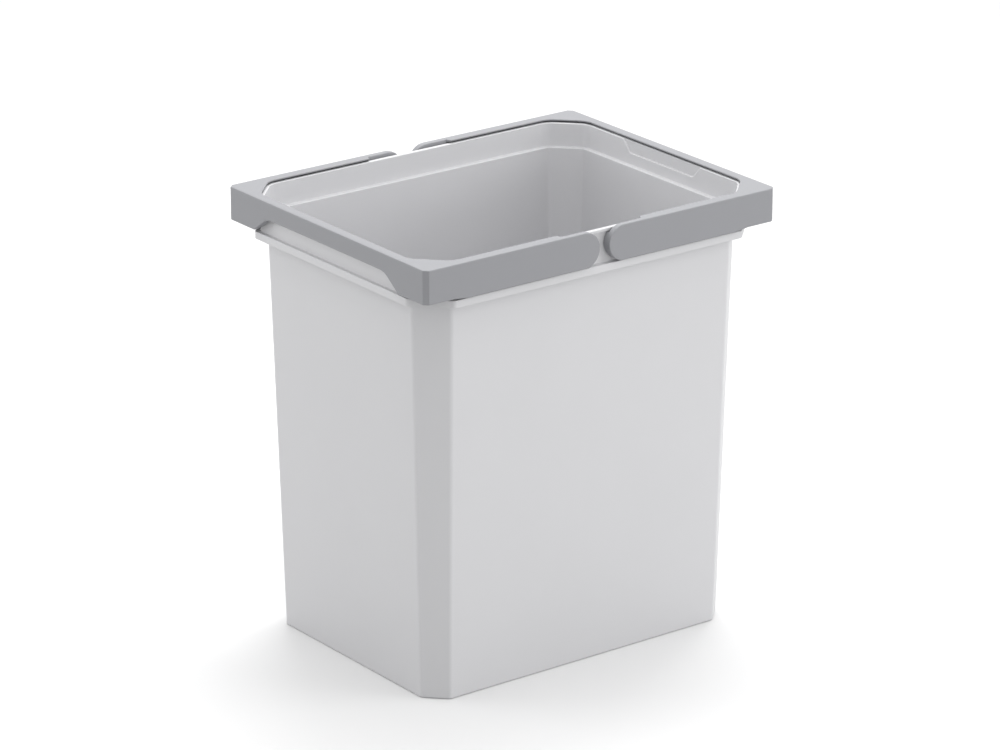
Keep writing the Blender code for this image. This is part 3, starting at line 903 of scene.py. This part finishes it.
def seen_directly(tree):
    """1 for camera, mirror and glass rays, and 0 for the rays that light a surface."""
    path = tree.nodes.new("ShaderNodeLightPath")
    seen = path.outputs["Is Camera Ray"]
    for kind in ("Is Glossy Ray", "Is Transmission Ray"):
        either = tree.nodes.new("ShaderNodeMath")
        either.operation = "MAXIMUM"
        tree.links.new(seen, either.inputs[0])
        tree.links.new(path.outputs[kind], either.inputs[1])
        seen = either.outputs[0]
    return seen


def mixed_output(tree, lights, shown, output):
    """Gives an output one shader for the rays that light a surface, and one for the others."""
    mix = tree.nodes.new("ShaderNodeMixShader")
    tree.links.new(seen_directly(tree), mix.inputs[0])
    tree.links.new(lights.outputs[0], mix.inputs[1])
    tree.links.new(shown.outputs[0], mix.inputs[2])
    tree.links.new(mix.outputs[0], tree.nodes[output].inputs[0])


def make_floor():
    """A matt floor that ends beyond what the camera sees."""
    mesh = bpy.data.meshes.new("floor")
    half = FLOOR_SIZE / 2
    corners = [(-half, -half, 0), (half, -half, 0), (half, half, 0), (-half, half, 0)]
    mesh.from_pydata(corners, [], [(0, 1, 2, 3)])
    floor = bpy.data.objects.new("floor", mesh)
    bpy.context.scene.collection.objects.link(floor)
    material = bpy.data.materials.new("floor")
    material.use_nodes = True
    tree = material.node_tree
    tree.nodes.remove(tree.nodes["Principled BSDF"])
    shown = tree.nodes.new("ShaderNodeBsdfDiffuse")
    shown.inputs["Color"].default_value = (FLOOR_SHOWN, FLOOR_SHOWN, FLOOR_SHOWN, 1)
    bounce = tree.nodes.new("ShaderNodeBsdfDiffuse")
    bounce.inputs["Color"].default_value = (FLOOR_BOUNCE, FLOOR_BOUNCE, FLOOR_BOUNCE, 1)
    mixed_output(tree, bounce, shown, "Material Output")
    mesh.materials.append(material)


def make_world():
    """An even white world."""
    world = bpy.data.worlds.new("studio")
    bpy.context.scene.world = world
    world.use_nodes = True
    tree = world.node_tree
    light = tree.nodes["Background"]
    shown = tree.nodes.new("ShaderNodeBackground")
    for background, strength in ((light, WORLD_STRENGTH), (shown, WORLD_SHOWN)):
        background.inputs["Color"].default_value = WHITE
        background.inputs["Strength"].default_value = strength
    mixed_output(tree, light, shown, "World Output")


def direction(azimuth, elevation):
    """The way to a place round the bin, in degrees: the front is 0 and the right end 90."""
    around = math.radians(azimuth)
    up = math.radians(elevation)
    return Vector(
        (
            math.sin(around) * math.cos(up),
            -math.cos(around) * math.cos(up),
            math.sin(up),
        )
    )


# Soft boxes: name, azimuth and elevation in degrees, distance, size, power in watts.
# They aim at a point above the middle of the floor, and the camera doesn't see them.
AIM_HEIGHT = 0.2
LAMPS = [
    ("overhead", 0, 90, 2.0, 2.0, 16),
    ("high back right", 135, 60, 2.2, 1.4, 25),
    ("back left", -135, 28, 2.5, 1.4, 6.5),
    ("low back left", -135, 6, 2.5, 1.4, 11),
    ("front right", 45, 28, 2.5, 1.4, 9),
    ("low front right", 45, 6, 2.5, 1.4, 11),
    ("low front", 0, 4, 2.5, 1.2, 7),
]


def make_lamps():
    """The soft boxes."""
    for name, azimuth, elevation, distance, size, power in LAMPS:
        data = bpy.data.lights.new(name, "AREA")
        data.shape = "SQUARE"
        data.size = size
        data.energy = power
        lamp = bpy.data.objects.new(name, data)
        back = direction(azimuth, elevation)
        lamp.location = back * distance + Vector((0, 0, AIM_HEIGHT))
        lamp.rotation_euler = back.to_track_quat("Z", "Y").to_euler()
        lamp.visible_camera = False
        bpy.context.scene.collection.objects.link(lamp)


# The camera of the photograph, with its angles in degrees. It looks past the origin by the
# shifts to the right and up.
AZIMUTH = -36.956
ELEVATION = 20.064
DISTANCE = 3.857187
SHIFT_RIGHT = -0.000954
SHIFT_UP = 0.189422
FOCAL_PIXELS = 4912.043
IMAGE_WIDTH = 1000
HALF_PIXEL = 0.5
SENSOR_MM = 36
FAR_CLIP = 50


def make_camera():
    """The camera of the photograph, which the render is made from."""
    data = bpy.data.cameras.new("view")
    data.sensor_width = SENSOR_MM
    data.lens = FOCAL_PIXELS / IMAGE_WIDTH * SENSOR_MM
    data.clip_end = FAR_CLIP
    data.shift_x = -HALF_PIXEL / IMAGE_WIDTH
    data.shift_y = HALF_PIXEL / IMAGE_WIDTH
    back = direction(AZIMUTH, ELEVATION)
    right = (-back).cross(Vector((0, 0, 1))).normalized()
    up = right.cross(-back)
    place = back * DISTANCE + right * SHIFT_RIGHT + up * SHIFT_UP
    turned = Matrix((right, up, back)).transposed().to_4x4()
    camera = bpy.data.objects.new("view", data)
    camera.matrix_world = Matrix.Translation(place) @ turned
    bpy.context.scene.collection.objects.link(camera)
    bpy.context.scene.camera = camera


make_camera()
make_body(moulded_plastic("light_grey_plastic", BODY_COLOUR, BODY_ROUGHNESS))
handle_plastic = moulded_plastic("mid_grey_plastic", HANDLE_COLOUR, HANDLE_ROUGHNESS)
for side, end in (("left", -1), ("right", 1)):
    make_handle(side, end, handle_plastic)
make_floor()
make_world()
make_lamps()
bpy.context.scene.view_settings.view_transform = "Standard"
